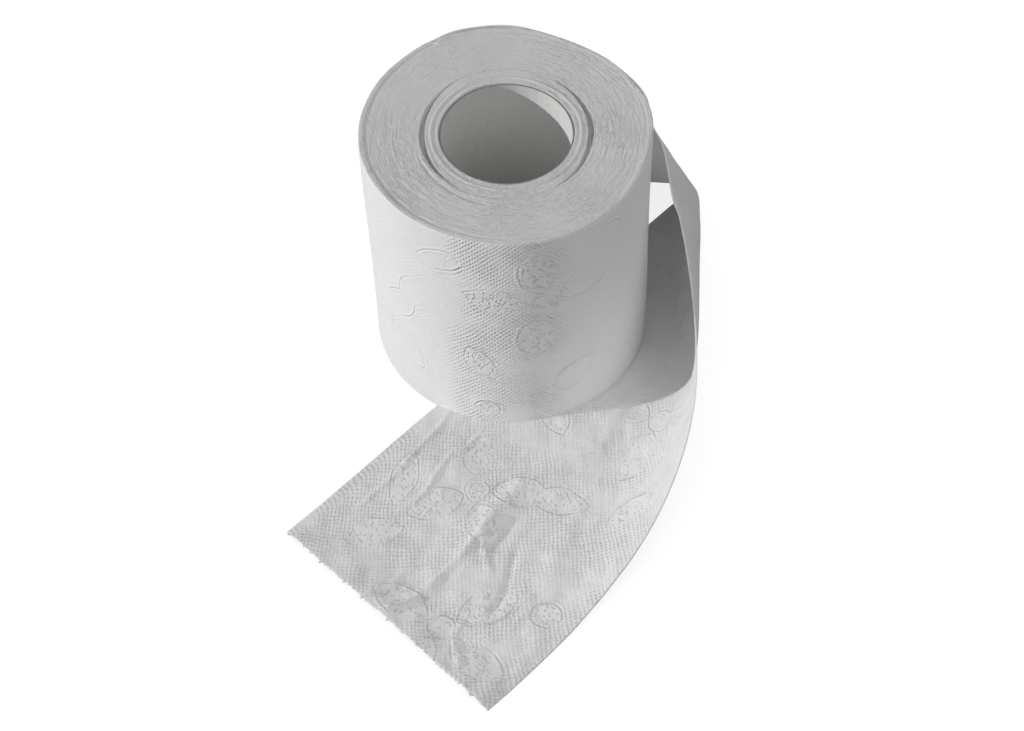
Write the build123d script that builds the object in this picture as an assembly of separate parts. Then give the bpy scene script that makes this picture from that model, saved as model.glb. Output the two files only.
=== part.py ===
from build123d import *
from math import cos, sin, radians
import os

# Toilet paper roll standing on its own unrolled end. Millimetres.
# The origin is on the roll's axis, at the floor. +Z is up.

# Roll
roll_diameter = 98.0
sheet_width = 98.5
sheet_thickness = 0.45
rim_rounding = 0.7

# Cardboard core
bore_diameter = 44.2
core_wall = 0.6
core_inset = 0.4
glue_gap = 0.1
cutter_margin = 1.0

# Turns that show on the two ends of the roll
turn_band = 2.6
turn_depth = 0.4
depth_change = 0.3
depth_phase = 2.4
furrow_start = 0.25
furrow_bottom = 0.6
rim_knee = 0.7
loose_turn_radius = 29.2
loose_turn_gap = 1.9
loose_turn_lap = 0.8
loose_turn_depth = 14.0

# Free end: it leaves the roll at lap_azimuth, stands behind it, turns back
# at a corner and lies along run_azimuth, under the roll
lap_azimuth = 120.0
lap_lift = 5.0
lap_root_turn = 2.0
lap_root_depth = 0.2
run_azimuth = 46.0
run_offset = 9.0
corner_reach = 41.5
free_run = 212.3
torn_skew = 1.8
bend_reach = 18.0
bend_fullness = 0.6
rest_gap = 0.05
section_spacing = 7.0

# Where the sheet stands behind the roll: azimuth of its foot, its gap to the roll as a
# share of corner_reach, then the heading and slope of its sections
standing = [
    (97, 0.06, 30, 89),
    (87.5, 0.2, 30, 85),
    (78.5, 0.41, 33, 80),
    (66, 0.653, 41, 73.2),
    (50.9, 0.784, 50.5, 65.5),
    (44.3, 0.949, 62.9, 60.7),
]

# Where it lies on the floor: distance from the corner as a share of free_run, skew and
# share of the width that lies flat, then heading and slope of the part beyond the bend
lying = [
    (0, 19.1, 0.023, 66.4, 56.9),
    (0.06, 13.9, 0.144, 64.3, 53.7),
    (0.14, 8.6, 0.29, 66.6, 60.7),
    (0.28, 2.5, 0.526, 53.4, 55.3),
    (0.45, -1.1, 0.72, 28, 54.3),
    (0.63, 1.4, 0.836, 5.9, 41.9),
    (0.8, -0.8, 0.885, 1.8, 8.2),
    (0.9, 0, 0.79, 0, 0),
    (1, -torn_skew, 0.8, torn_skew, 0),
]

# Shares of the width at which a straight section has its points
straight_shares = (0, 0.1, 0.15, 0.25, 0.3, 1)

# Worked out from the sizes above
roll_radius = roll_diameter / 2
base_level = sheet_thickness + rest_gap
top_level = base_level + sheet_width
core_radius = bore_diameter / 2 + core_wall
inner_turn_radius = core_radius + glue_gap
corner_along = roll_radius + corner_reach
run_direction = Vector(cos(radians(run_azimuth)), sin(radians(run_azimuth)), 0)
across_direction = Vector(run_direction.Y, -run_direction.X, 0)
up_direction = Vector(0, 0, 1)


def polar(azimuth, radius, level=0.0):
    return Vector(radius * cos(radians(azimuth)), radius * sin(radians(azimuth)), level)


def spiral_outline():
    # One turn of the outermost sheet, ending in a step of one sheet at the lap
    arcs = 4
    points = []
    for step in range(2 * arcs + 1):
        share = step / (2 * arcs)
        points.append(polar(lap_azimuth + 360 * share, roll_radius - sheet_thickness * share))
    outer = [ThreePointArc(*points[2 * arc : 2 * arc + 3]) for arc in range(arcs)]
    lap = Line(points[-1], points[0])
    return Face(Wire(outer + [lap]))


def end_dressing():
    # Ring cutter for the upper end: shallow furrows between the turns and a rounded rim
    reach = roll_radius - sheet_thickness - rim_rounding
    bands = int((reach - inner_turn_radius) / turn_band)
    pitch = (reach - inner_turn_radius) / bands
    profile = [(inner_turn_radius, top_level)]
    for band in range(bands):
        depth = turn_depth * (1 - depth_change * (1 - sin(depth_phase * band)))
        start = inner_turn_radius + band * pitch
        profile.append((start + furrow_start * pitch, top_level))
        profile.append((start + furrow_bottom * pitch, top_level - depth))
    profile.append((reach, top_level))
    knee_radius = reach + rim_knee * rim_rounding
    knee_level = top_level - (1 - rim_knee) * rim_rounding
    profile.append((knee_radius, knee_level))
    past_rim = roll_radius + cutter_margin
    profile.append((past_rim, knee_level - (past_rim - knee_radius)))
    profile.append((past_rim, top_level + cutter_margin))
    profile.append((inner_turn_radius, top_level + cutter_margin))
    outline = Polyline([Vector(x, 0, z) for x, z in profile], close=True)
    return revolve(Face(Wire(outline.edges())), Axis.Z)


def loose_turns():
    # The inner bundle has slipped a little: two crescents open beside it at each end
    hole = Circle(loose_turn_radius)
    bundle = Ellipse(loose_turn_radius - loose_turn_gap, loose_turn_radius + loose_turn_lap)
    crescents = Plane.XY.offset(top_level - loose_turn_depth) * (hole - bundle)
    return extrude(crescents, loose_turn_depth + cutter_margin)


def wound_turns():
    body = extrude(Plane.XY.offset(base_level) * spiral_outline(), sheet_width)
    hole = extrude(Circle(inner_turn_radius), sheet_width + 2 * cutter_margin)
    body -= Pos(0, 0, base_level - cutter_margin) * hole
    mirror_plane = Plane.XY.offset((base_level + top_level) / 2)
    for cutter in (end_dressing(), loose_turns()):
        body -= cutter
        body -= mirror(cutter, about=mirror_plane)
    return body


def section_points(foot, skew, flat_share, heading, slope):
    # One section from the sheet's lower or left edge to the other: a flat part, a bend
    # with two handles, and a last leg that makes the section as long as the sheet is wide
    flat_way = run_direction * sin(radians(skew)) + across_direction * cos(radians(skew))
    last_way = rising_way(heading, slope)
    flat = sheet_width * flat_share
    corner = foot + flat_way * flat
    leg = sheet_width - flat
    for trial in range(6):
        reach = min(bend_reach, 0.8 * flat, 0.8 * leg)
        bend_start = corner - flat_way * reach
        bend_end = corner + last_way * reach
        handles = [point + (corner - point) * bend_fullness for point in (bend_start, bend_end)]
        bend = Bezier(bend_start, *handles, bend_end)
        leg += sheet_width - (flat - reach) - bend.length - (leg - reach)
    return [foot, bend_start, *handles, bend_end, corner + last_way * leg]


def straight_points(foot, way):
    return [foot + way * (sheet_width * share) for share in straight_shares]


def rising_way(heading, slope):
    level_way = across_direction * cos(radians(heading)) - run_direction * sin(radians(heading))
    return level_way * cos(radians(slope)) + up_direction * sin(radians(slope))


def inner_rows():
    # The side of the sheet that faces the roll, one row of points per section
    # It starts just inside the roll, behind the step of the last turn
    root_radius = roll_radius - sheet_thickness - lap_root_depth
    root = polar(lap_azimuth + lap_root_turn, root_radius, base_level)
    rows = [straight_points(root, up_direction)]
    for azimuth, gap_share, heading, slope in standing:
        foot = polar(azimuth, roll_radius + corner_reach * gap_share, sheet_thickness)
        rows.append(straight_points(foot, rising_way(heading, slope)))
    for run_share, *shape in lying:
        along = corner_along - free_run * run_share
        foot = run_direction * along + across_direction * run_offset
        rows.append(section_points(foot + up_direction * sheet_thickness, *shape))
    return rows


def blended_rows(rows):
    # Evenly spaced rows on smooth curves through the given ones, none of them below the floor
    spans = []
    for first, second in zip(rows, rows[1:]):
        spans.append(sum((b - a).length for a, b in zip(first, second)) / len(first))
    count = round(sum(spans) / section_spacing)
    result = []
    for number in range(count + 1):
        distance = sum(spans) * number / count
        index = 0
        while index < len(spans) - 1 and distance > spans[index]:
            distance -= spans[index]
            index += 1
        share = distance / spans[index]
        result.append([blended_point(rows, spans, index, share, place) for place in range(len(rows[0]))])
    return result


def blended_point(rows, spans, index, share, place):
    # Cubic piece between two rows, whose slopes come from the rows on either side
    def slope(row):
        if row == 0:
            return polar(lap_azimuth + lap_root_turn - 90 + lap_lift, 1)
        if row == len(rows) - 1:
            return (rows[row][place] - rows[row - 1][place]) / spans[row - 1]
        before = (rows[row][place] - rows[row - 1][place]) / spans[row - 1]
        after = (rows[row + 1][place] - rows[row][place]) / spans[row]
        return (before * spans[row] + after * spans[row - 1]) / (spans[row] + spans[row - 1])

    start = rows[index][place] * (2 * share**3 - 3 * share**2 + 1)
    end = rows[index + 1][place] * (3 * share**2 - 2 * share**3)
    start_slope = slope(index) * (spans[index] * (share**3 - 2 * share**2 + share))
    end_slope = slope(index + 1) * (spans[index] * (share**3 - share**2))
    point = start + end + start_slope + end_slope
    return Vector(point.X, point.Y, max(point.Z, sheet_thickness))


def outer_row(rows, index):
    # The other side of the sheet, one thickness away
    if index == 0:
        return [point + polar(lap_azimuth + lap_root_turn, sheet_thickness) for point in rows[0]]
    before = rows[index - 1]
    after = rows[min(index + 1, len(rows) - 1)]
    row = rows[index]
    points = []
    for place in range(len(row)):
        along = after[place] - before[place]
        across = row[min(place + 1, len(row) - 1)] - row[max(place - 1, 0)]
        points.append(row[place] - along.cross(across).normalized() * sheet_thickness)
    return points


def section_edges(points):
    return [Line(points[0], points[1]), Bezier(*points[1:5]), Line(points[4], points[5])]


def free_end():
    rows = blended_rows(inner_rows())
    sections = []
    for index, inner in enumerate(rows):
        outer = outer_row(rows, index)
        ends = [Line(inner[-1], outer[-1]), Line(outer[0], inner[0])]
        sections.append(Wire(section_edges(inner) + ends + section_edges(outer)))
    return Solid.make_loft(sections, ruled=True)


def paper_roll():
    return wound_turns() + free_end()


def cardboard_core():
    length = sheet_width - 2 * core_inset
    tube = Cylinder(core_radius, length) - Cylinder(bore_diameter / 2, length + cutter_margin)
    return Pos(0, 0, (base_level + top_level) / 2) * tube


def main():
    os.makedirs("parts", exist_ok=True)
    for name, solid in (("paper_roll", paper_roll()), ("cardboard_core", cardboard_core())):
        export_step(solid, f"parts/{name}.step")
        print(name, len(solid.solids()), "solid", round(solid.volume), "mm3", solid.bounding_box())


main()
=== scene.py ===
import math
import random

import bmesh
import bpy
from mathutils import Matrix, Vector, noise


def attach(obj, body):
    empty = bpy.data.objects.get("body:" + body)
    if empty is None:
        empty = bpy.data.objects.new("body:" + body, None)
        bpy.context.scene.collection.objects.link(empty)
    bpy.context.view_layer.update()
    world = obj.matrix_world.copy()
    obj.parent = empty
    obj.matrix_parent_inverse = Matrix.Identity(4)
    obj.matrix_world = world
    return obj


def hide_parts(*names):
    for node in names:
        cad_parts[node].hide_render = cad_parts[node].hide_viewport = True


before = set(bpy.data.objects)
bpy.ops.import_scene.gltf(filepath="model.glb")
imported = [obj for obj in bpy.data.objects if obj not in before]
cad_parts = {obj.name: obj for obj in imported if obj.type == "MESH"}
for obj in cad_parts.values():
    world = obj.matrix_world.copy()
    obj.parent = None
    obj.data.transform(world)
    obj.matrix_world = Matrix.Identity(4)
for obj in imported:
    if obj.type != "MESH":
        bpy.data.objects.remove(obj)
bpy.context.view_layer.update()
mm = 0.001
print("frame loaded")


# one strip of tissue, wound up and with a free end, mm and degrees
web = {
    "rollRadius": 49.0,
    "sheetWidth": 98.5,
    "thickness": 0.45,
    "baseLevel": 0.5,
    "coreRadius": 22.7,
    "glueGap": 0.1,
    "lapAzimuth": 120.0,
    "lapRootTurn": 2.0,
    "lapRootDepth": 0.2,
    "lapLift": 5.0,
    "runAzimuth": 46.0,
    "runOffset": 9.0,
    "cornerReach": 41.5,
    "freeRun": 212.3,
    "bendReach": 18.0,
    "bendShare": 0.8,  # of the flat part or the leg, at most
    "bendFullness": 0.6,
}

# azimuth of the foot, share of cornerReach from the roll, heading and slope
standing = [
    (98.6, 0.104, 30.4, 88.6),
    (89, 0.213, 30.7, 85),
    (82.3, 0.462, 36, 78.4),
    (65.3, 0.644, 40.4, 71.5),
    (50.8, 0.782, 50.8, 65.5),
    (44.3, 0.95, 63.2, 60.8),
]

# share of freeRun from the corner, skew, share that lies flat, heading and slope
lying = [
    (0, 19.1, 0.023, 66, 56.6),
    (0.06, 14, 0.145, 64.9, 54.1),
    (0.14, 9, 0.29, 67.8, 61.4),
    (0.28, 2.5, 0.526, 53.3, 55.1),
    (0.45, -1.2, 0.72, 28, 54),
    (0.63, 1.6, 0.834, 5.5, 42),
    (0.8, -0.9, 0.888, 2, 8),
    (0.9, 0, 0.79, 0, 0),
    (1, -1.8, 0.8, 1.8, 0),
]

straightShares = (0, 0.1, 0.15, 0.25, 0.3, 1)  # where a straight section has its points
curveSteps = {"length": 16, "flat": 8, "bend": 24}


def polar(azimuth, radius, level=0.0):
    angle = math.radians(azimuth)
    return Vector((radius * math.cos(angle), radius * math.sin(angle), level))


runWay = polar(web["runAzimuth"], 1.0)
acrossWay = Vector((runWay.y, -runWay.x, 0))
upWay = Vector((0, 0, 1))


def risingWay(heading, slope):
    levelWay = acrossWay * math.cos(math.radians(heading))
    levelWay -= runWay * math.sin(math.radians(heading))
    return levelWay * math.cos(math.radians(slope)) + upWay * math.sin(math.radians(slope))


def bezierPoint(points, share):
    rest = 1 - share
    a, b, c, d = points
    return a * rest**3 + b * (3 * rest**2 * share) + c * (3 * rest * share**2) + d * share**3


def bezierLength(points):
    count = curveSteps["length"]
    steps = [bezierPoint(points, step / count) for step in range(count + 1)]
    return sum((second - first).length for first, second in zip(steps, steps[1:]))


def straightRow(foot, way):
    return [foot + way * (web["sheetWidth"] * share) for share in straightShares]


def bentRow(foot, skew, flatShare, heading, slope):
    width = web["sheetWidth"]
    flatWay = runWay * math.sin(math.radians(skew)) + acrossWay * math.cos(math.radians(skew))
    lastWay = risingWay(heading, slope)
    flat = width * flatShare
    corner = foot + flatWay * flat
    leg = width - flat
    # a few rounds settle how long the last leg is, so that the section is as long as the width
    for trial in range(6):
        reach = min(web["bendReach"], web["bendShare"] * flat, web["bendShare"] * leg)
        ends = (corner - flatWay * reach, corner + lastWay * reach)
        handles = [point + (corner - point) * web["bendFullness"] for point in ends]
        leg += width - (flat - reach) - bezierLength((ends[0], *handles, ends[1])) - (leg - reach)
    return [foot, ends[0], *handles, ends[1], corner + lastWay * leg]


def guideRows():
    rootRadius = web["rollRadius"] - web["thickness"] - web["lapRootDepth"]
    root = polar(web["lapAzimuth"] + web["lapRootTurn"], rootRadius, web["baseLevel"])
    rows = [straightRow(root, upWay)]
    for azimuth, gapShare, heading, slope in standing:
        foot = polar(azimuth, web["rollRadius"] + web["cornerReach"] * gapShare, web["thickness"])
        rows.append(straightRow(foot, risingWay(heading, slope)))
    for runShare, *shape in lying:
        along = web["rollRadius"] + web["cornerReach"] - web["freeRun"] * runShare
        foot = runWay * along + acrossWay * web["runOffset"] + upWay * web["thickness"]
        rows.append(bentRow(foot, *shape))
    return rows


guides = guideRows()
spans = []
for first, second in zip(guides, guides[1:]):
    spans.append(sum((b - a).length for a, b in zip(first, second)) / len(first))
rootSlope = polar(web["lapAzimuth"] + web["lapRootTurn"] - 90 + web["lapLift"], 1)


def guideSlope(row, place):
    if row == 0:
        return rootSlope
    before = (guides[row][place] - guides[row - 1][place]) / spans[row - 1]
    if row == len(guides) - 1:
        return before
    after = (guides[row + 1][place] - guides[row][place]) / spans[row]
    return (before * spans[row] + after * spans[row - 1]) / (spans[row] + spans[row - 1])


def blendedRow(distance):
    index = 0
    while index < len(spans) - 1 and distance > spans[index]:
        distance -= spans[index]
        index += 1
    share = distance / spans[index]
    startSlope = spans[index] * (share**3 - 2 * share**2 + share)
    endSlope = spans[index] * (share**3 - share**2)
    row = []
    for place in range(len(straightShares)):
        point = guides[index][place] * (2 * share**3 - 3 * share**2 + 1)
        point = point + guides[index + 1][place] * (3 * share**2 - 2 * share**3)
        point = point + guideSlope(index, place) * startSlope
        point = point + guideSlope(index + 1, place) * endSlope
        point.z = max(point.z, web["thickness"])
        row.append(point)
    return row


def rowSamples(row, count):
    # evenly spaced points on one section: a flat part, a bend and a straight leg
    flatSteps, bendSteps = curveSteps["flat"], curveSteps["bend"]
    line = [row[0].lerp(row[1], step / flatSteps) for step in range(flatSteps)]
    line += [bezierPoint(row[1:5], step / bendSteps) for step in range(bendSteps)]
    line += [row[4].lerp(row[5], step / flatSteps) for step in range(flatSteps + 1)]
    reached = [0.0]
    for first, second in zip(line, line[1:]):
        reached.append(reached[-1] + (second - first).length)
    samples = []
    index = 0
    for step in range(count + 1):
        wanted = reached[-1] * step / count
        while index < len(line) - 2 and reached[index + 1] < wanted:
            index += 1
        span = max(reached[index + 1] - reached[index], 1e-9)
        samples.append(line[index].lerp(line[index + 1], (wanted - reached[index]) / span))
    return samples


def smoothStep(low, high, value):
    share = min(max((value - low) / (high - low), 0.0), 1.0)
    return share * share * (3 - 2 * share)


def link(mesh, name, materials):
    piece = bpy.data.objects.new(name, mesh)
    bpy.context.scene.collection.objects.link(piece)
    for material in materials:
        mesh.materials.append(material)
    return piece


def socketOf(tree, value, socket):
    if isinstance(value, (int, float)):
        socket.default_value = value
    else:
        tree.links.new(value, socket)


def sums(tree, operation, first, second=None, third=None, clamp=False):
    node = tree.nodes.new("ShaderNodeMath")
    node.operation = operation
    node.use_clamp = clamp
    for place, value in enumerate((first, second, third)):
        if value is not None:
            socketOf(tree, value, node.inputs[place])
    return node.outputs[0]


def vectorSums(tree, operation, first, second=None, output=0):
    node = tree.nodes.new("ShaderNodeVectorMath")
    node.operation = operation
    for place, value in enumerate((first, second)):
        if value is None:
            continue
        if isinstance(value, tuple):
            node.inputs[place].default_value = value
        else:
            tree.links.new(value, node.inputs[place])
    return node.outputs[output]


def noiseOf(tree, vector, scale, detail=3.0, roughness=0.55):
    node = tree.nodes.new("ShaderNodeTexNoise")
    node.inputs["Scale"].default_value = scale
    node.inputs["Detail"].default_value = detail
    node.inputs["Roughness"].default_value = roughness
    tree.links.new(vector, node.inputs["Vector"])
    return node.outputs["Fac"]


def ranged(tree, value, low, high, toLow, toHigh):
    node = tree.nodes.new("ShaderNodeMapRange")
    node.interpolation_type = "SMOOTHSTEP"
    tree.links.new(value, node.inputs["Value"])
    node.inputs["From Min"].default_value = low
    node.inputs["From Max"].default_value = high
    node.inputs["To Min"].default_value = toLow
    node.inputs["To Max"].default_value = toHigh
    return node.outputs["Result"]


emboss = {
    "repeatAlong": 112.0,  # mm of web before the flowers come again
    "petalGap": 0.8,  # between a ring and its petals
    "grooveDepth": 0.36,
    "grooveWidth": 0.72,  # to each side of the line
    "shoulderHeight": 0.16,
    "shoulderWidth": (0.54, 1.8),  # full and gone, to each side of the line
    "innerEdge": (-1.4, -0.5),  # how far inside a flower its loose pits are full, and begin
    "dotPitch": 1.02,  # between the staggered rows
    "dotDepth": 0.3,
    "dotWave": (-0.3, 1.9),  # the part of the two crossed waves that is pressed in
    "pitDepth": 0.3,
    "pitScale": 0.8,
    "pitRadius": (0.1, 0.5),
    "wobble": 2.2,
    "wobbleScale": 0.09,
    "lineFade": (0.4, 0.58, 0.05, 1.0),  # noise from and to, and the strengths they give
    "lineFadeScale": 0.055,
    "leastLine": 0.4,  # share of the lines that is left where the fine pits fade
    "dotFade": (0.36, 0.6, 0.2, 1.0),
    "dotFadeScale": 0.05,
    # how much the pits darken the colour: painted shade in them
    "paintedPitShade": 2.5,
}

# centre along and across the web, turn, half length, half width of each leaf
leaves = [
    (38, 22, 35, 11.5, 5.6),
    (60, 14, -28, 10.5, 5.2),
    (92, 60, 62, 11.0, 5.4),
    (104, 84, 18, 10.0, 5.0),
    (6, 34, 118, 9.5, 4.8),
]
# centre and radius of each ring
rings = [(28, 66, 4.6), (76, 36, 4.2), (54, 88, 5.0), (8, 8, 4.4)]
# the ring that petals stand round, their turns, half length and half width
petalsOf = [
    ((28, 66), 4.6, (20, 98, 172, 262), 11.5, 6.4),
    ((76, 36), 4.2, (52, 128, 205, 318), 10.5, 6.0),
]


def buildEmbossGroup():
    group = bpy.data.node_groups.new("flower emboss", "ShaderNodeTree")
    group.interface.new_socket("Web", in_out="INPUT", socket_type="NodeSocketVector")
    group.interface.new_socket("Fine", in_out="INPUT", socket_type="NodeSocketFloat")
    group.interface.new_socket("Height", in_out="OUTPUT", socket_type="NodeSocketFloat")
    group.interface.new_socket("PaintedShade", in_out="OUTPUT", socket_type="NodeSocketFloat")
    entry = group.nodes.new("NodeGroupInput")
    leave = group.nodes.new("NodeGroupOutput")
    # the web's own millimetres, a little uneven, wrapped to one repeat
    scaled = vectorSums(group, "SCALE", entry.outputs["Web"])
    scaled.node.inputs["Scale"].default_value = 1 / mm
    wobble = group.nodes.new("ShaderNodeTexNoise")
    wobble.inputs["Scale"].default_value = emboss["wobbleScale"]
    wobble.inputs["Detail"].default_value = 1.0
    group.links.new(scaled, wobble.inputs["Vector"])
    wobbled = vectorSums(group, "SUBTRACT", wobble.outputs["Color"], (0.5, 0.5, 0.5))
    wobbled = vectorSums(group, "SCALE", wobbled)
    wobbled.node.inputs["Scale"].default_value = emboss["wobble"]
    place = vectorSums(group, "ADD", scaled, wobbled)
    parts = group.nodes.new("ShaderNodeSeparateXYZ")
    group.links.new(place, parts.inputs[0])
    along = sums(group, "WRAP", parts.outputs[0], emboss["repeatAlong"], 0.0)
    joined = group.nodes.new("ShaderNodeCombineXYZ")
    group.links.new(along, joined.inputs[0])
    group.links.new(parts.outputs[1], joined.inputs[1])
    tile = joined.outputs[0]

    shapes = list(leaves)
    for centre, radius, turns, halfLength, halfWidth in petalsOf:
        for turn in turns:
            reach = radius + emboss["petalGap"] + halfLength
            x = centre[0] + reach * math.cos(math.radians(turn))
            y = centre[1] + reach * math.sin(math.radians(turn))
            shapes.append((x, y, turn, halfLength, halfWidth))

    distance = None
    for x, y, turn, halfLength, halfWidth in shapes:
        bow = (halfLength**2 + halfWidth**2) / (2 * halfWidth)
        mapping = group.nodes.new("ShaderNodeMapping")
        mapping.vector_type = "TEXTURE"
        mapping.inputs["Location"].default_value = (x, y, 0)
        mapping.inputs["Rotation"].default_value = (0, 0, math.radians(turn))
        group.links.new(tile, mapping.inputs["Vector"])
        folded = vectorSums(group, "ABSOLUTE", mapping.outputs[0])
        lifted = vectorSums(group, "ADD", folded, (0, bow - halfWidth, 0))
        length = vectorSums(group, "LENGTH", lifted, output=1)
        away = sums(group, "SUBTRACT", length, bow)
        distance = away if distance is None else sums(group, "MINIMUM", distance, away)
    for x, y, radius in rings:
        moved = vectorSums(group, "SUBTRACT", tile, (x, y, 0))
        length = vectorSums(group, "LENGTH", moved, output=1)
        distance = sums(group, "MINIMUM", distance, sums(group, "SUBTRACT", length, radius))

    # a narrow pressed line along every outline, fainter here and there
    edge = sums(group, "ABSOLUTE", distance)
    strength = noiseOf(group, scaled, emboss["lineFadeScale"], 2.0)
    strength = ranged(group, strength, *emboss["lineFade"])
    leftHere = ranged(group, entry.outputs["Fine"], 0.0, 1.0, emboss["leastLine"], 1.0)
    strength = sums(group, "MULTIPLY", strength, leftHere)
    groove = ranged(group, edge, 0.0, emboss["grooveWidth"], 1.0, 0.0)
    groove = sums(group, "MULTIPLY", groove, strength)
    shoulder = ranged(group, edge, *emboss["shoulderWidth"], 1.0, 0.0)
    shoulder = sums(group, "MULTIPLY", shoulder, strength)
    # staggered rows of small pits outside the flowers, and loose pits inside them
    inside = ranged(group, distance, *emboss["innerEdge"], 1.0, 0.0)
    lattice = None
    for way in ((1, 1, 0), (1, -1, 0)):
        wave = vectorSums(group, "DOT_PRODUCT", place, way, output=1)
        wave = sums(group, "COSINE", sums(group, "MULTIPLY", wave, math.pi / emboss["dotPitch"]))
        lattice = wave if lattice is None else sums(group, "ADD", lattice, wave)
    dots = ranged(group, lattice, *emboss["dotWave"], 0.0, 1.0)
    dotFade = noiseOf(group, scaled, emboss["dotFadeScale"], 2.0)
    dots = sums(group, "MULTIPLY", dots, ranged(group, dotFade, *emboss["dotFade"]))
    cells = group.nodes.new("ShaderNodeTexVoronoi")
    cells.inputs["Scale"].default_value = emboss["pitScale"]
    group.links.new(scaled, cells.inputs["Vector"])
    pits = ranged(group, cells.outputs["Distance"], *emboss["pitRadius"], 1.0, 0.0)
    ground = group.nodes.new("ShaderNodeMix")
    group.links.new(inside, ground.inputs[0])
    group.links.new(sums(group, "MULTIPLY", dots, -emboss["dotDepth"]), ground.inputs[2])
    group.links.new(sums(group, "MULTIPLY", pits, -emboss["pitDepth"]), ground.inputs[3])
    fine = sums(group, "MULTIPLY", ground.outputs[0], entry.outputs["Fine"])
    pressed = sums(group, "MULTIPLY", groove, -emboss["grooveDepth"])
    raised = sums(group, "MULTIPLY", shoulder, emboss["shoulderHeight"])
    height = sums(group, "ADD", sums(group, "ADD", fine, pressed), raised)
    group.links.new(height, leave.inputs["Height"])
    # painted shade: the pressed lines and pits darken the colour, as if shade fell in them
    paintedShade = sums(group, "MAXIMUM", groove, sums(group, "MULTIPLY", fine, -emboss["paintedPitShade"]))
    group.links.new(paintedShade, leave.inputs["PaintedShade"])
    return group


def newMaterial(name):
    material = bpy.data.materials.new(name)
    material.use_nodes = True
    tree = material.node_tree
    tree.nodes.clear()
    shader = tree.nodes.new("ShaderNodeBsdfPrincipled")
    output = tree.nodes.new("ShaderNodeOutputMaterial")
    tree.links.new(shader.outputs[0], output.inputs[0])
    coordinates = tree.nodes.new("ShaderNodeTexCoord")
    return material, tree, shader, coordinates


def bumpInto(tree, shader, height, distance):
    bump = tree.nodes.new("ShaderNodeBump")
    bump.inputs["Strength"].default_value = 1.0
    bump.inputs["Distance"].default_value = distance
    tree.links.new(height, bump.inputs["Height"])
    tree.links.new(bump.outputs[0], shader.inputs["Normal"])


def toneInto(tree, shader, value, dark, light):
    ramp = tree.nodes.new("ShaderNodeMix")
    ramp.data_type = "RGBA"
    ramp.inputs[6].default_value = (*dark, 1)
    ramp.inputs[7].default_value = (*light, 1)
    tree.links.new(value, ramp.inputs[0])
    tree.links.new(ramp.outputs[2], shader.inputs["Base Color"])


tissueLook = {
    "light": (0.82, 0.82, 0.818),
    "dark": (0.67, 0.67, 0.668),
    "roughness": 0.95,
    "specular": 0.15,
    "embossDepth": 1.5 * mm,
    "fuzz": 0.06,
    "fuzzScale": 2200.0,
    "crumple": 0.15,
    "crumpleScale": 110.0,
    "crepe": 0.04,
    "crepeScale": (1600.0, 260.0, 1.0),  # fine along the web and long across it
    # painted shade in the pressed lines and pits
    "paintedHollowShade": 0.06,
    "mottle": 0.08,
    "mottleScale": 420.0,
    "mottleRange": (0.3, 0.6),
    "leastFine": 0.12,  # share of the fine pits that is left where the paper is smoothest
    "facing": (0.88, 0.985),  # how squarely it faces front or back, smoothest and full pits
    "lightThrough": 0.0,
}
# a single sheet is softer and lets light through, least where it lies on the floor, and its
# places are metres along the web, 0 at the lap and -0.32 at the torn end
sheetLook = {
    **tissueLook,
    "light": (0.9, 0.9, 0.898),
    "dark": (0.64, 0.64, 0.638),
    "embossDepth": 1.2 * mm,
    "fuzz": 0.2,
    "crumple": 0.5,
    "crepe": 0.12,
    # painted shade in the pressed lines and pits
    "paintedHollowShade": 0.14,
    "mottle": 0.16,
    "leastFine": 0.4,
    "finePits": (-0.25, -0.19),  # full pits and fewest
    "lying": (-0.22, -0.15),  # wholly on the floor and clear of it
    "groundShade": 0.42,  # how much the ground shows through where it lies
    "lightThrough": 0.48,
    "lightThroughLying": 0.12,
    "veil": (0.97, 0.97, 0.97, 1),
}


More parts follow.
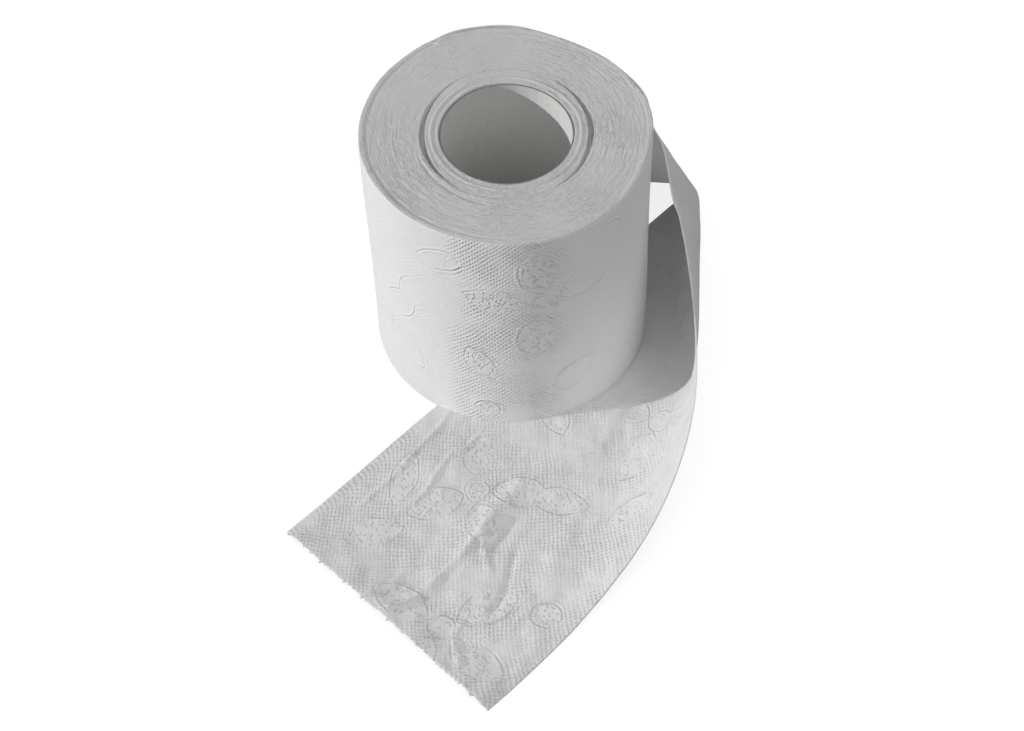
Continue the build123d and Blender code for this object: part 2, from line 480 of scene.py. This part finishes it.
def tissueMaterial(name, group, look):
    material, tree, shader, coordinates = newMaterial(name)
    place, mapped = coordinates.outputs["Object"], coordinates.outputs["UV"]
    pattern = tree.nodes.new("ShaderNodeGroup")
    pattern.node_tree = group
    tree.links.new(mapped, pattern.inputs["Web"])
    parts = tree.nodes.new("ShaderNodeSeparateXYZ")
    tree.links.new(mapped, parts.inputs[0])
    along = parts.outputs[0]
    if look["lightThrough"]:
        fine = ranged(tree, along, *look["finePits"], 1.0, look["leastFine"])
    else:
        # fewer pits, and less of their painted shade, where the roll faces left and right
        level = vectorSums(tree, "MULTIPLY", place, (1.0, 1.0, 0.0))
        level = vectorSums(tree, "NORMALIZE", level)
        facing = vectorSums(tree, "DOT_PRODUCT", level, (0.0, 1.0, 0.0), output=1)
        facing = sums(tree, "ABSOLUTE", facing)
        fine = ranged(tree, facing, *look["facing"], look["leastFine"], 1.0)
    tree.links.new(fine, pattern.inputs["Fine"])
    fuzz = noiseOf(tree, place, look["fuzzScale"], 2.0)
    crumple = noiseOf(tree, place, look["crumpleScale"], 3.0)
    crepe = noiseOf(tree, vectorSums(tree, "MULTIPLY", mapped, look["crepeScale"]), 1.0, 2.0)
    height = sums(tree, "MULTIPLY_ADD", fuzz, look["fuzz"], pattern.outputs["Height"])
    height = sums(tree, "MULTIPLY_ADD", crumple, look["crumple"], height)
    height = sums(tree, "MULTIPLY_ADD", crepe, look["crepe"], height)
    bumpInto(tree, shader, height, look["embossDepth"])
    mottle = noiseOf(tree, place, look["mottleScale"], 3.0)
    mottle = ranged(tree, mottle, *look["mottleRange"], look["mottle"], 0.0)
    # painted shade in the pressed lines and pits, then a random mottle
    shade = sums(tree, "MULTIPLY_ADD", pattern.outputs["PaintedShade"], -look["paintedHollowShade"], 1.0)
    shade = sums(tree, "SUBTRACT", shade, mottle, clamp=True)
    if look["lightThrough"]:
        lyingShade = ranged(tree, along, *look["lying"], look["groundShade"], 0.0)
        shade = sums(tree, "SUBTRACT", shade, lyingShade, clamp=True)
        veil = tree.nodes.new("ShaderNodeBsdfTranslucent")
        veil.inputs["Color"].default_value = look["veil"]
        share = ranged(tree, along, *look["lying"], look["lightThroughLying"], look["lightThrough"])
        both = tree.nodes.new("ShaderNodeMixShader")
        output = shader.outputs[0].links[0].to_node
        tree.links.new(share, both.inputs[0])
        tree.links.new(shader.outputs[0], both.inputs[1])
        tree.links.new(veil.outputs[0], both.inputs[2])
        tree.links.new(both.outputs[0], output.inputs[0])
    toneInto(tree, shader, shade, look["dark"], look["light"])
    shader.inputs["Roughness"].default_value = look["roughness"]
    shader.inputs["Specular IOR Level"].default_value = look["specular"]
    return material


# the cut face is darker than the tissue of the side: painted shade among the cut fibres
endLook = {
    "light": (0.575, 0.575, 0.573),
    "dark": (0.43, 0.43, 0.428),
    "roughness": 1.0,
    "specular": 0.1,
    "turnPitch": 0.7 * mm,  # from one turn's edge to the next that shows
    "streakHeight": 0.3 * mm,
    "around": 14.0,  # noise cells in one radian of a turn
    "wide": 2.4,  # share of the wide streaks beside the narrow ones
    "wideScale": 0.32,
    "stipple": 1.6,
    "stippleScale": 1300.0,
    "broadScale": 38.0,
    "cutRoughness": (0.38, 0.6, 0.45, 1.0),  # noise from and to, and the strengths they give
    "smoothWay": (-0.6, 0.8, 0),  # smoothest at the back left
    "smoothing": (0.0, 0.9, 1.0, 0.5),
    # the streaks and stipple darken the colour where the face sinks: painted shade of its relief
    "paintedStreakShade": (0.36, 0.6, 0.0, 0.55),
    "paintedStippleShade": (0.35, 0.65, 0.0, 0.45),
    "meanShade": 0.55,
}


def endMaterial():
    material, tree, shader, coordinates = newMaterial("cut edges of the turns")
    place = coordinates.outputs["Object"]
    parts = tree.nodes.new("ShaderNodeSeparateXYZ")
    tree.links.new(place, parts.inputs[0])
    sides = [parts.outputs[number] for number in (0, 1)]
    squares = [sums(tree, "MULTIPLY", side, side) for side in sides]
    radius = sums(tree, "SQRT", sums(tree, "ADD", *squares))
    # noise drawn out along the turns: fine across them, long along them
    streak = tree.nodes.new("ShaderNodeCombineXYZ")
    for number, side in enumerate(sides):
        around = sums(tree, "DIVIDE", side, radius)
        tree.links.new(sums(tree, "MULTIPLY", around, endLook["around"]), streak.inputs[number])
    tree.links.new(sums(tree, "MULTIPLY", radius, 1 / endLook["turnPitch"]), streak.inputs[2])
    streaks = noiseOf(tree, streak.outputs[0], 1.0, 2.0, 0.6)
    wide = noiseOf(tree, streak.outputs[0], endLook["wideScale"], 2.0, 0.5)
    stipple = noiseOf(tree, place, endLook["stippleScale"], 3.0, 0.7)
    # rougher cuts in some parts of the face than in others
    rough = noiseOf(tree, place, endLook["broadScale"], 1.0)
    rough = ranged(tree, rough, *endLook["cutRoughness"])
    aside = vectorSums(tree, "DOT_PRODUCT", place, endLook["smoothWay"], output=1)
    smooth = ranged(tree, sums(tree, "DIVIDE", aside, radius), *endLook["smoothing"])
    rough = sums(tree, "MULTIPLY", rough, smooth)
    height = sums(tree, "MULTIPLY_ADD", wide, endLook["wide"], streaks)
    height = sums(tree, "MULTIPLY_ADD", stipple, endLook["stipple"], height)
    height = sums(tree, "MULTIPLY", height, rough)
    bumpInto(tree, shader, height, endLook["streakHeight"])
    # painted shade: the colour follows the streaks and stipple, darker where the face sinks
    paintedStreakShade = ranged(tree, streaks, *endLook["paintedStreakShade"])
    shade = sums(tree, "ADD", paintedStreakShade, ranged(tree, stipple, *endLook["paintedStippleShade"]))
    shade = sums(tree, "SUBTRACT", shade, 0.5)
    shade = sums(tree, "MULTIPLY_ADD", shade, rough, endLook["meanShade"])
    toneInto(tree, shader, shade, endLook["dark"], endLook["light"])
    shader.inputs["Roughness"].default_value = endLook["roughness"]
    shader.inputs["Specular IOR Level"].default_value = endLook["specular"]
    return material


coreLook = {
    "light": (0.67, 0.668, 0.662),
    "dark": (0.62, 0.617, 0.61),
    "cutEdge": (0.2, 0.195, 0.185, 1),
    "roughness": 0.9,
    "specular": 0.2,
    "fibreHeight": 0.05 * mm,
    "fibreScale": 600.0,
    "fibreShade": (0.3, 0.7, 0.0, 1.0),
    "cutSlope": (0.4, 0.8, 0.0, 1.0),  # a face that points up or down is a cut edge
}


def coreMaterial():
    material, tree, shader, coordinates = newMaterial("core board")
    fibre = noiseOf(tree, coordinates.outputs["Object"], coreLook["fibreScale"], 3.0, 0.6)
    shade = ranged(tree, fibre, *coreLook["fibreShade"])
    toneInto(tree, shader, shade, coreLook["dark"], coreLook["light"])
    # the two cut edges are bare grey board
    wall = shader.inputs["Base Color"].links[0].from_socket
    shape = tree.nodes.new("ShaderNodeNewGeometry")
    parts = tree.nodes.new("ShaderNodeSeparateXYZ")
    tree.links.new(shape.outputs["Normal"], parts.inputs[0])
    upright = sums(tree, "ABSOLUTE", parts.outputs[2])
    edge = tree.nodes.new("ShaderNodeMix")
    edge.data_type = "RGBA"
    tree.links.new(ranged(tree, upright, *coreLook["cutSlope"]), edge.inputs[0])
    tree.links.new(wall, edge.inputs[6])
    edge.inputs[7].default_value = coreLook["cutEdge"]
    tree.links.new(edge.outputs[2], shader.inputs["Base Color"])
    bumpInto(tree, shader, fibre, coreLook["fibreHeight"])
    shader.inputs["Roughness"].default_value = coreLook["roughness"]
    shader.inputs["Specular IOR Level"].default_value = coreLook["specular"]
    return material


embossGroup = buildEmbossGroup()
tissue = tissueMaterial("embossed tissue", embossGroup, tissueLook)
singleSheet = tissueMaterial("single sheet of tissue", embossGroup, sheetLook)
turnEnds = endMaterial()
coreBoard = coreMaterial()
print("materials made")


roll = {
    "steps": 288,
    "topRings": 110,
    "baseRings": 24,
    "innerShare": 0.18,  # of the rings of an end face, for the inner bundle
    "sideRings": 70,
    "rimRounding": 0.7,
    "rimSteps": 6,
    "bareRimSteps": 4,  # steps of the upper rim that show cut edges
    "rimRise": 0.26,
    "rimWidth": 1.9,
    "raggedRim": 0.3,
    "bundleRadius": 27.4,
    "gapRadius": 29.2,
    "gapDepth": 3.2,
    "looseGap": 1.9,
    "looseLap": 0.8,
    "closedGap": 0.03,
    "lapStep": 0.45,
    "lapTurn": 0.1,  # degrees that the lap's step takes
    "unevenHeight": (0.45, 0.98),  # share of the height where the uneven rim begins and is full
    "footShift": 0.8,
    "footHeight": 0.8,  # share of the height that slipped
}
innerRadius = web["coreRadius"] + web["glueGap"]

# azimuth and how far the upper rim stands out or in, mm
unevenRim = [
    (12, 0.9), (35, -0.2), (62, -1.2), (88, 0.3), (115, 1.5), (140, 1.0), (165, 0.9),
    (185, 0.8), (215, 0.0), (248, -0.8), (290, 0.0), (318, -0.2), (339, -0.8),
]

# marks of the cut face: the azimuths that each begins, is full, fades and ends at
endMarks = {
    "lowRim": (225, 245, 300, 330),
    "rimFurrow": (130, 160, 270, 300),
    "leftTurn": (185, 200, 225, 245),
    "leftFurrow": (190, 212, 245, 275),
    "evenBack": (60, 85, 165, 195),
}
# the innermost turns, pushed up a little round the core: height, radius and width, mm
innerTurns = [(0.3, 25.3, 0.4), (-0.16, 24.3, 0.45), (-0.1, 26.1, 0.35)]


def rimOffset(azimuth):
    azimuth %= 360
    points = unevenRim + [(unevenRim[0][0] + 360, unevenRim[0][1])]
    if azimuth < points[0][0]:
        azimuth += 360
    for (start, low), (end, high) in zip(points, points[1:]):
        if start <= azimuth <= end:
            return low + (high - low) * smoothStep(start, end, azimuth)
    return 0.0


def endFace(level, down, count):
    # rings of one cut face from the core outwards, with the gap beside the inner bundle
    bundle, gap = roll["bundleRadius"], roll["gapRadius"]
    outer = web["rollRadius"] - roll["rimRounding"]
    innerCount = max(int(count * roll["innerShare"]), 3)
    face = []
    for step in range(innerCount + 1):
        face.append((innerRadius + (bundle - innerRadius) * step / innerCount, level, "end"))
    face.append((bundle, level + down * roll["gapDepth"], "gapIn"))
    face.append((gap, level + down * roll["gapDepth"], "gapOut"))
    for step in range(count + 1):
        face.append((gap + (outer - gap) * step / count, level, "end"))
    return face


def rollProfile():
    # radius, level and kind of every ring, once round the section of the roll
    base = web["baseLevel"]
    top = base + web["sheetWidth"]
    rounding = roll["rimRounding"]
    outer = web["rollRadius"] - rounding
    angles = [math.pi / 2 * step / roll["rimSteps"] for step in range(1, roll["rimSteps"])]
    rings = endFace(top, -1, roll["topRings"])
    for step, angle in enumerate(angles, 1):
        kind = "rimTop" if step < roll["bareRimSteps"] else "rim"
        level = top - rounding + rounding * math.cos(angle)
        rings.append((outer + rounding * math.sin(angle), level, kind))
    for step in range(roll["sideRings"] + 1):
        level = top - rounding - (top - base - 2 * rounding) * step / roll["sideRings"]
        rings.append((web["rollRadius"], level, "side"))
    for angle in angles:
        level = base + rounding - rounding * math.sin(angle)
        rings.append((outer + rounding * math.cos(angle), level, "rim"))
    rings += endFace(base, 1, roll["baseRings"])[::-1]
    return rings


def bell(value, centre, width):
    return math.exp(-((value - centre) / width) ** 2)


def endRelief(azimuth, radius):
    # how far the cut face of the turns stands up or sinks at one place, mm
    def share(mark):
        start, full, fading, end = endMarks[mark]
        return smoothStep(start, full, turn) * (1 - smoothStep(fading, end, turn))

    turn = azimuth % 360
    rim = web["rollRadius"]
    edge = rim - roll["rimWidth"]
    lift = roll["rimRise"] * (1 - 0.8 * share("lowRim"))
    lift *= smoothStep(edge - 0.15, edge + 0.4, radius)
    lift -= 0.16 * share("rimFurrow") * bell(radius, edge - 0.3, 0.45)
    # one more turn that stands up on the left
    lift += 0.1 * share("leftTurn") * bell(radius, edge - 1.6, 0.4)
    lift += sum(height * bell(radius, centre, width) for height, centre, width in innerTurns)
    # a shallow second furrow in front of the left gap, and the ridge beside it
    furrow = 0.4 * bell(radius, 31.6 + 0.02 * (turn - 230), 0.55)
    lift += share("leftFurrow") * (0.22 * bell(radius, 30.1, 0.45) - furrow)
    # the rim itself is a little ragged
    ragged = roll["raggedRim"] * smoothStep(rim - 1.6, rim - 0.4, radius)
    lift += ragged * noise.noise(polar(azimuth, 17))
    # faint waves of the turns, and slow dips over the whole face
    place = polar(azimuth, 1.6)
    wave = radius / 1.6 + 2.2 * noise.noise(Vector((place.x, place.y, radius / 7)))
    waveShare = 0.3 + 1.4 * noise.noise(polar(azimuth, radius / 6))
    lift += 0.03 * math.sin(2 * math.pi * wave) * waveShare
    lift += 0.32 * noise.noise(polar(azimuth, radius / 13) + Vector((4.2, 0.7, 0)))
    # single turns that stand up for a short way, fewest at the back
    coarse = 1 - 0.75 * share("evenBack")
    lift += 0.11 * coarse * noise.noise(polar(azimuth, 7, radius / 0.62))
    # a short crease behind the hole
    spot = polar(azimuth, radius)
    lift += 0.16 * bell(spot.x + 0.2 * (spot.y - 29), -2.6, 1.1) * bell(spot.y, 29.5, 3.0)
    return lift


def bundleReach(azimuth):
    # the gap beside the inner bundle is a crescent on the left and one on the right
    wide = roll["gapRadius"] - roll["looseGap"]
    tall = roll["gapRadius"] + roll["looseLap"]
    angle = math.radians(azimuth)
    reach = wide * tall / math.hypot(tall * math.cos(angle), wide * math.sin(angle))
    return min(reach, roll["gapRadius"] - roll["closedGap"])


def placeOnRoll(ring, azimuth, share):
    radius, level, kind = ring
    height = (level - web["baseLevel"]) / web["sheetWidth"]
    if radius <= roll["bundleRadius"] and kind in ("end", "gapIn"):
        reach = bundleReach(azimuth) - innerRadius
        widest = roll["bundleRadius"] - innerRadius
        radius = innerRadius + (radius - innerRadius) * reach / widest
    if kind in ("end", "rim", "rimTop"):
        lift = endRelief(azimuth, radius)
        level += lift if height > 0.5 else -0.5 * lift
    depthIn = (radius / web["rollRadius"]) ** 3
    radius -= roll["lapStep"] * share * depthIn
    radius += rimOffset(azimuth) * depthIn * smoothStep(*roll["unevenHeight"], height)
    point = polar(azimuth, radius, max(level, web["baseLevel"]))
    # the lower part has slipped a little to the right
    point.x += roll["footShift"] * depthIn * (1 - smoothStep(0, roll["footHeight"], height))
    return point * mm


def buildRoll():
    rings = rollProfile()
    bm = bmesh.new()
    ringLayer = bm.verts.layers.int.new("ring")
    verts = [bm.verts.new((radius * mm, 0, level * mm)) for radius, level, kind in rings]
    for index, vert in enumerate(verts):
        vert[ringLayer] = index
        bm.edges.new((vert, verts[(index + 1) % len(verts)]))
    steps = roll["steps"]
    bmesh.ops.spin(bm, geom=bm.verts[:] + bm.edges[:], axis=(0, 0, 1), cent=(0, 0, 0),
                   steps=steps, angle=2 * math.pi, use_merge=True)
    for vert in bm.verts:
        turn = round(math.atan2(vert.co.y, vert.co.x) / (2 * math.pi) * steps) % steps
        share = turn / steps
        if turn == steps - 1:
            share = 1 - roll["lapTurn"] / 360
        vert.co = placeOnRoll(rings[vert[ringLayer]], web["lapAzimuth"] + 360 * share, share)
    uvs = bm.loops.layers.uv.new("web")
    for face in bm.faces:
        face.smooth = True
        kinds = {rings[vert[ringLayer]][2] for vert in face.verts}
        face.material_index = 0 if kinds <= {"side", "rim"} else 1
        angles = []
        for loop in face.loops:
            azimuth = math.degrees(math.atan2(loop.vert.co.y, loop.vert.co.x))
            angles.append((azimuth - web["lapAzimuth"]) % 360)
        # a face that crosses the lap keeps its corners together on the map
        if max(angles) - min(angles) > 180:
            angles = [angle + 360 if angle < 180 else angle for angle in angles]
        for loop, angle in zip(face.loops, angles):
            along = math.radians(angle) * web["rollRadius"] * mm
            loop[uvs].uv = (along, loop.vert.co.z)
    bmesh.ops.recalc_face_normals(bm, faces=bm.faces[:])
    if bm.calc_volume(signed=True) < 0:
        bmesh.ops.reverse_faces(bm, faces=bm.faces[:])
    mesh = bpy.data.meshes.new("wound_turns")
    bm.to_mesh(mesh)
    bm.free()
    return link(mesh, "wound_turns", [tissue, turnEnds])


woundTurns = buildRoll()
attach(woundTurns, "root")
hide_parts("paper_roll")
print("roll made", len(woundTurns.data.polygons), "faces")


freeEnd = {
    "columns": 196,
    "tornRows": 6,
    "tornRowStep": 0.5,
    "tornWidth": 2.5,
    "nearRowStep": 1.2,
    "nearRows": (3, 115),  # distances from the torn end
    "farRowStep": 2.0,
    "tornDepth": 0.45,
    "tearPitch": 2.05,  # mm from one perforation to the next
    "nickDepth": 0.12,
    "nickWidth": 0.5,
    "tufts": 50,
    "tuftLength": 1.5,
    "tuftWidth": 0.55,
    "flatReach": (110, 150),  # the sheet lies in front of here, and stands free behind
    "quiltHeight": 0.5,
    "swellHeight": 0.9,
    "crepeHeight": 0.2,
    "waveHeight": 0.25,  # of the part that stands
    "tornLift": 3.2,
    "tornLiftReach": (-8, 18),
    "creaseReach": 20.0,
    "rimPull": 1.5,
    "rootDrop": 0.45,
}
tuftRandom = random.Random(11)
tufts = []
for number in range(freeEnd["tufts"]):
    spot = tuftRandom.uniform(0.2, 0.8)
    tufts.append((spot, freeEnd["tuftLength"] * tuftRandom.random() ** 2.5))

# soft ridges and hollows of the part that lies in front: height, width before and behind the
# line, then its points as distance from the torn end and distance across the web, mm
creases = [
    (1.9, 5.0, 3.6, [(112, 60), (98.6, 54.2), (90.4, 51.7), (69.8, 45.0), (51.1, 47.4),
                     (37.2, 50.3)]),
    (1.0, 1.9, 1.0, [(51.1, 47.4), (37.2, 50.3), (18.6, 50.8), (9.0, 49.7), (-0.6, 45.6)]),
    (0.7, 1.1, 0.9, [(52, 47.8), (47.8, 48.6), (42.0, 55.5), (37.3, 62.8)]),
    (1.0, 9.0, 4.5, [(84, 66), (68, 72), (56, 77), (40, 80)]),
    (-0.8, 1.5, 1.5, [(52, 62), (45.3, 65.6), (34.2, 72.3), (26, 73.6)]),
    (0.7, 1.2, 0.9, [(74.4, 5.7), (66.8, 7.7), (58.0, 8.4), (42.5, 10.4), (33.2, 10.3),
                     (22.7, 10.5)]),
    (0.7, 1.2, 0.9, [(78.9, 19.6), (67.8, 20.9), (62.2, 18.6), (51.1, 21.5), (43.9, 23.7),
                     (33.3, 22.0)]),
    (0.6, 1.2, 0.9, [(21.1, 68.5), (11.3, 70.5), (6.4, 78.8), (2.8, 80.9)]),
    (0.6, 1.2, 0.9, [(-0.4, 37.8), (9.3, 41.9), (17.0, 40.9)]),
    (0.65, 1.2, 0.9, [(-0.6, 45.6), (7.5, 50.3), (15.2, 51.7), (23.4, 56.0)]),
]


def creaseHeight(away, across):
    height = 0.0
    here = Vector((away, across))
    for rise, widthBefore, widthBehind, line in creases:
        nearest = freeEnd["creaseReach"]
        for index, (start, end) in enumerate(zip(line, line[1:])):
            start, end = Vector(start), Vector(end)
            way = end - start
            share = max(0.0, min(1.0, (here - start).dot(way) / way.length_squared))
            gap = here - start - way * share
            if gap.length < nearest:
                nearest = gap.length
                width = widthBehind if way.cross(gap) > 0 else widthBefore
                total = (index + share) / (len(line) - 1)
        if nearest < freeEnd["creaseReach"]:
            taper = smoothStep(0, 0.2, total) * (1 - smoothStep(0.8, 1, total))
            height += rise * (0.4 + 0.6 * taper) * bell(nearest, 0, width)
    return height


def sheetRelief(away, across):
    # how far the sheet stands off its smooth surface, mm
    width = web["sheetWidth"]
    swell = noise.noise(Vector((away / 26, across / 22, 0.4))) + 0.4
    quilt = noise.noise(Vector((away / 7, across / 6, 3.0)))
    crepe = noise.noise(Vector(((away + across) / 2.2, (away - across) / 16, 7.0)))
    wave = noise.noise(Vector((away / 30, across / 25, 9.0)))
    relief = freeEnd["swellHeight"] * max(swell, 0) + freeEnd["quiltHeight"] * (0.5 + quilt)
    relief += creaseHeight(away, across)
    crepeShare = smoothStep(60, 95, away) * (1 - smoothStep(70, 95, across))
    lift = freeEnd["tornLift"] * (1 - smoothStep(*freeEnd["tornLiftReach"], away))
    relief += freeEnd["crepeHeight"] * crepe * crepeShare + lift
    edges = smoothStep(-1, 6, across) * (1 - smoothStep(width - 5, width + 1, across))
    flat = 1 - smoothStep(*freeEnd["flatReach"], away)
    relief = flat * max(relief, 0) * (0.25 + 0.75 * edges)
    return relief + (1 - flat) * freeEnd["waveHeight"] * wave


def tearReach(side):
    # the torn edge: a slow wave, a nick at every perforation and a tuft of fibres between them
    pitch = freeEnd["tearPitch"]
    place = side / pitch
    number = int(place)
    spot, length = tufts[number % len(tufts)]
    near = max(0.0, 1 - abs(place - number - spot) * pitch / freeEnd["tuftWidth"])
    nick = max(0.0, 1 - min(place - number, number + 1 - place) * pitch / freeEnd["nickWidth"])
    ragged = noise.noise(Vector((side / 5, 0.3, 1.0)))
    ragged += 0.6 * noise.noise(Vector((side / 0.8, 5.1, 2.0)))
    return freeEnd["tornDepth"] * ragged + length * near - freeEnd["nickDepth"] * nick


def rowDistances(total):
    # distances of the rows from the lap, closer together where the paper is torn and creased
    tornReach, nearReach = freeEnd["nearRows"]
    steps = []
    reached = 0.0
    while reached < total:
        steps.append(reached)
        if reached < tornReach:
            reached += freeEnd["tornRowStep"]
        elif reached < nearReach:
            reached += freeEnd["nearRowStep"]
        else:
            reached += freeEnd["farRowStep"]
    if total - steps[-1] > 0.5:
        steps.append(total)
    return [total - step for step in steps][::-1]


def alongSheet(grid):
    # how far along the web each point of the grid is, from the lap
    reached = [[0.0] * len(grid[0])]
    for first, second in zip(grid, grid[1:]):
        reached.append([old + (b - a).length for old, a, b in zip(reached[-1], first, second)])
    return reached


def leavingRoll(point, reached, atTop):
    # it leaves the roll with the roll's own uneven rim
    azimuth = math.degrees(math.atan2(point.y, point.x))
    height = point.z / web["sheetWidth"]
    fade = 1 - smoothStep(50, 56, math.hypot(point.x, point.y))
    offset = max(rimOffset(azimuth), 0) * smoothStep(*roll["unevenHeight"], height) * fade
    offset -= freeEnd["rimPull"] * bell(azimuth, 101, 9) * smoothStep(0.3, 0.95, height)
    point += polar(azimuth, offset)
    if atTop:
        point.z -= freeEnd["rootDrop"] * (1 - smoothStep(0, 30, reached))
    return point


def buildSheet():
    columns = freeEnd["columns"]
    distances = rowDistances(sum(spans))
    rows = len(distances) - 1
    grid = [rowSamples(blendedRow(distance), columns) for distance in distances]
    reached = alongSheet(grid)
    bm = bmesh.new()
    uvs = bm.loops.layers.uv.new("web")
    bmesh.ops.create_grid(bm, x_segments=rows, y_segments=columns, size=0.5)
    place = {}
    for vert in bm.verts:
        row = round((vert.co.x + 0.5) * rows)
        column = round((vert.co.y + 0.5) * columns)
        place[vert] = (row, column)
    width = web["sheetWidth"]
    for vert, (row, column) in place.items():
        point = grid[row][column].copy()
        along = grid[min(row + 1, rows)][column] - grid[max(row - 1, 0)][column]
        across = grid[row][min(column + 1, columns)] - grid[row][max(column - 1, 0)]
        up = along.cross(across).normalized()
        fromLap = reached[row][column]
        away = reached[-1][column] - fromLap
        side = width * column / columns
        point += up * sheetRelief(away, side) * smoothStep(0, 40, fromLap)
        if fromLap < 60:
            point = leavingRoll(point, fromLap, column == columns)
        if row > rows - freeEnd["tornRows"]:
            point -= runWay * (tearReach(side) * (1 - away / freeEnd["tornWidth"]))
        vert.co = point * mm
    for face in bm.faces:
        face.smooth = True
        for loop in face.loops:
            row, column = place[loop.vert]
            loop[uvs].uv = (-reached[row][column] * mm, width * mm * column / columns)
    mesh = bpy.data.meshes.new("free_end")
    bm.to_mesh(mesh)
    bm.free()
    piece = link(mesh, "free_end", [singleSheet])
    solid = piece.modifiers.new("thickness", "SOLIDIFY")
    solid.thickness = web["thickness"] * mm
    solid.offset = -1
    # the real length of the web, as the mean of its columns
    return piece, sum(reached[-1]) / (columns + 1)


freeSheet, freeLength = buildSheet()
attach(freeSheet, "root")
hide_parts("paper_roll")
print("free end made", round(freeLength, 1), "mm long")


core = bpy.data.objects["cardboard_core"]
for slotHere in core.material_slots:
    slotHere.link = "OBJECT"
    slotHere.material = coreBoard
print("core dressed")


stage = {
    "floorSize": 4.0,
    "floorTone": (0.3, 0.3, 0.3, 1),
    "backdropLift": 0.8,
    "sunStrength": 2.3,
    "sunHeading": 8.6,
    "sunElevation": 14.5,
    "sunAngle": 1.6,
}

# soft light from the sky: where it comes from, how narrow it is and how strong
softLights = [
    ((0.0, 0.0, 1.0), 4.0, 0.88),
    ((0.0, -0.6, 0.8), 4.0, 0.88),
    ((0.7, -0.1, 0.7), 4.0, 0.28),
    ((0.5, 0.6, 0.5), 4.0, 0.6),
]


def seenDirectly(tree):
    # 1 for the camera and for gloss, which both see a white studio
    path = tree.nodes.new("ShaderNodeLightPath")
    return sums(tree, "MAXIMUM", path.outputs["Is Camera Ray"], path.outputs["Is Glossy Ray"])


def buildFloor():
    mesh = bpy.data.meshes.new("floor")
    bm = bmesh.new()
    bmesh.ops.create_grid(bm, x_segments=1, y_segments=1, size=stage["floorSize"] / 2)
    bm.to_mesh(mesh)
    bm.free()
    material = bpy.data.materials.new("pale floor")
    material.use_nodes = True
    tree = material.node_tree
    tree.nodes.clear()
    output = tree.nodes.new("ShaderNodeOutputMaterial")
    plain = tree.nodes.new("ShaderNodeBsdfDiffuse")
    plain.inputs["Color"].default_value = stage["floorTone"]
    glow = tree.nodes.new("ShaderNodeEmission")
    lift = sums(tree, "MULTIPLY", seenDirectly(tree), stage["backdropLift"])
    tree.links.new(lift, glow.inputs["Strength"])
    both = tree.nodes.new("ShaderNodeAddShader")
    tree.links.new(plain.outputs[0], both.inputs[0])
    tree.links.new(glow.outputs[0], both.inputs[1])
    tree.links.new(both.outputs[0], output.inputs[0])
    link(mesh, "floor", [material])


def buildSun():
    sun = bpy.data.lights.new("key", "SUN")
    sun.energy = stage["sunStrength"]
    sun.angle = math.radians(stage["sunAngle"])
    lamp = bpy.data.objects.new("key", sun)
    bpy.context.scene.collection.objects.link(lamp)
    rise = math.radians(stage["sunElevation"])
    ray = polar(stage["sunHeading"], math.cos(rise), -math.sin(rise))
    lamp.rotation_euler = ray.to_track_quat("-Z", "Y").to_euler()


def buildSky():
    world = bpy.data.worlds.new("sky")
    bpy.context.scene.world = world
    world.use_nodes = True
    tree = world.node_tree
    tree.nodes.clear()
    output = tree.nodes.new("ShaderNodeOutputWorld")
    sky = tree.nodes.new("ShaderNodeBackground")
    sky.inputs["Color"].default_value = (1, 1, 1, 1)
    seen = seenDirectly(tree)
    way = tree.nodes.new("ShaderNodeTexCoord").outputs["Generated"]
    soft = 0.0
    for aim, narrowness, strength in softLights:
        facing = vectorSums(tree, "DOT_PRODUCT", way, tuple(Vector(aim).normalized()), output=1)
        lobe = sums(tree, "POWER", sums(tree, "MAXIMUM", facing, 0.0), narrowness)
        soft = sums(tree, "MULTIPLY_ADD", lobe, strength, soft)
    plain = sums(tree, "MULTIPLY", soft, sums(tree, "SUBTRACT", 1.0, seen))
    tree.links.new(sums(tree, "ADD", plain, seen), sky.inputs["Strength"])
    tree.links.new(sky.outputs[0], output.inputs[0])


view = {
    "place": (0.0, -0.5610, 0.7180),
    "lens": 87.5,
    "tilt": 36.84,
    "turn": -0.04,
    "roll": -1.03,
}


def buildCamera():
    data = bpy.data.cameras.new("view")
    data.lens = view["lens"]
    data.sensor_width = 36.0
    data.clip_start = 0.05
    data.clip_end = 20
    camera = bpy.data.objects.new("view", data)
    bpy.context.scene.collection.objects.link(camera)
    matrix = Matrix.Rotation(math.radians(view["turn"]), 4, "Z")
    matrix = matrix @ Matrix.Rotation(math.radians(view["tilt"]), 4, "X")
    matrix = matrix @ Matrix.Rotation(math.radians(view["roll"]), 4, "Z")
    camera.matrix_world = Matrix.Translation(view["place"]) @ matrix
    bpy.context.scene.camera = camera


buildFloor()
buildSun()
buildSky()
buildCamera()
bpy.context.scene.view_settings.view_transform = "Standard"
print("stage set")
